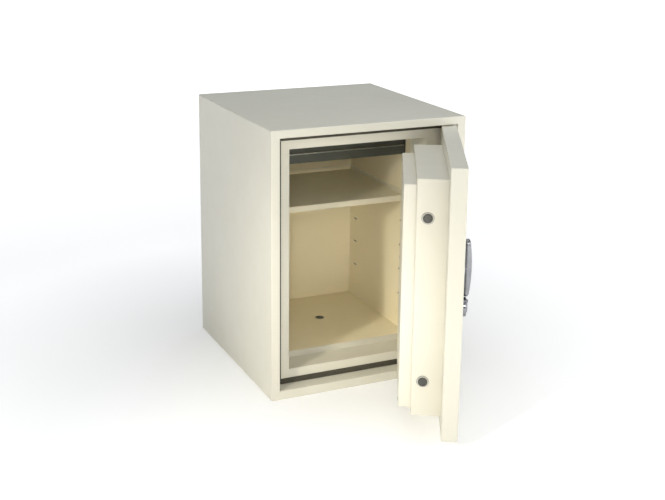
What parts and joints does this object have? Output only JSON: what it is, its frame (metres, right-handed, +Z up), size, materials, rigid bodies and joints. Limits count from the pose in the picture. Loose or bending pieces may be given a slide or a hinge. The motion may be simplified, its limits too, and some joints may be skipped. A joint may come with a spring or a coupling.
{
  "type": "fireproof document safe",
  "caption": "Upright fire-resistant document safe with a thick stepped door on a side hinge, throwing bolts, a turning handle, a key lock, a shelf and filing rails.",
  "frame": {"origin": "centre of the footprint on the underside of the base", "axes": "+X to the right seen from the front, +Y from the front to the back, +Z up; the door is open at rest"},
  "size_m": [0.5, 0.9016, 0.648],
  "materials": {
    "shell_paint": "satin ivory powder coat with a very fine texture",
    "liner_paint": "satin ivory-beige powder coat",
    "shelf_paint": "satin ivory-beige powder coat",
    "rail_paint": "dark grey satin paint",
    "seal": "matt intumescent strip",
    "zinc_steel": "zinc plated",
    "bolt_steel": "turned steel, satin",
    "lock_brass": "machined",
    "handle_chrome": "satin chrome",
    "washer_plastic": "moulded",
    "insulation": "cast lightweight mineral filling"
  },
  "bodies": {
    "safe_body": {"outer_casing": "shell_paint", "base_plate": "shell_paint", "back_panel": "shell_paint", "back_screws": "zinc_steel", "throat_frame": "shell_paint", "inner_liner": "liner_paint", "keeper_plate": "zinc_steel", "anchor_sleeve": "zinc_steel", "body_hinge_blocks": "zinc_steel", "hinge_pins": "bolt_steel", "hinge_washers": "washer_plastic", "door_seal": "seal", "body_insulation": "insulation", "shelf_clips": "zinc_steel", "filing_rails": "rail_paint", "rail_brackets": "rail_paint"},
    "shelf": {"shelf": "shelf_paint"},
    "door": {"door_pan": "shell_paint", "door_hinge_blocks": "zinc_steel", "door_insulation": "insulation", "hard_plate": "bolt_steel", "mechanism_plate": "zinc_steel", "mid_step_casing": "shell_paint", "inner_step_casing": "shell_paint", "inner_step_board": "insulation", "step_screws": "zinc_steel", "dog_bar": "bolt_steel", "bolt_collars": "zinc_steel", "guide_studs": "zinc_steel", "spindle_bush": "lock_brass", "handle_backplate": "handle_chrome", "lock_housing": "handle_chrome", "lock_case": "zinc_steel", "lock_case_cover": "zinc_steel", "cover_rivet": "handle_chrome"},
    "handle": {"spindle": "bolt_steel", "cam_disc": "zinc_steel", "handle_lever": "handle_chrome"},
    "bolt_work": {"bolt_bar": "zinc_steel", "bolts": "bolt_steel"},
    "lock_cylinder": {"lock_cylinder": "lock_brass"},
    "lock_bolt": {"lock_bolt": "lock_brass"},
    "key_cover": {"key_cover": "handle_chrome"}
  },
  "joints": [
    {"name": "door_hinge", "type": "hinge", "parent": "safe_body", "child": "door", "pos_m": [0.22, -0.248, 0], "axis": [0, 0, 1], "range_deg": [-62.7, 32.3]},
    {"name": "handle_turn", "type": "hinge", "parent": "door", "child": "handle", "pos_m": [0.06177, -0.55457, 0.384], "axis": [0.8886, -0.4586, 0], "range_deg": [0, 90]},
    {"name": "bolt_slide", "type": "slide", "parent": "door", "child": "bolt_work", "axis": [-0.4586, -0.8886, 0], "range_m": [0, 0.02]},
    {"name": "lock_cylinder_turn", "type": "hinge", "parent": "door", "child": "lock_cylinder", "pos_m": [0.06177, -0.55457, 0.2955], "axis": [-0.8886, 0.4586, 0], "range_deg": [0, 90]},
    {"name": "lock_bolt_slide", "type": "slide", "parent": "door", "child": "lock_bolt", "axis": [0, 0, 1], "range_m": [0, 0.013]},
    {"name": "key_cover_swing", "type": "hinge", "parent": "door", "child": "key_cover", "pos_m": [0.06177, -0.55457, 0.3075], "axis": [0.8886, -0.4586, 0], "range_deg": [0, 110]},
    {"name": "shelf_lift", "type": "slide", "parent": "safe_body", "child": "shelf", "axis": [0, 0, 1], "range_m": [0, 0.03]}
  ],
  "couplings": [
    {"joint": "bolt_slide", "follows": "handle_turn", "m_per_rad": 0.01273},
    {"joint": "lock_bolt_slide", "follows": "lock_cylinder_turn", "m_per_rad": 0.00827}
  ]
}
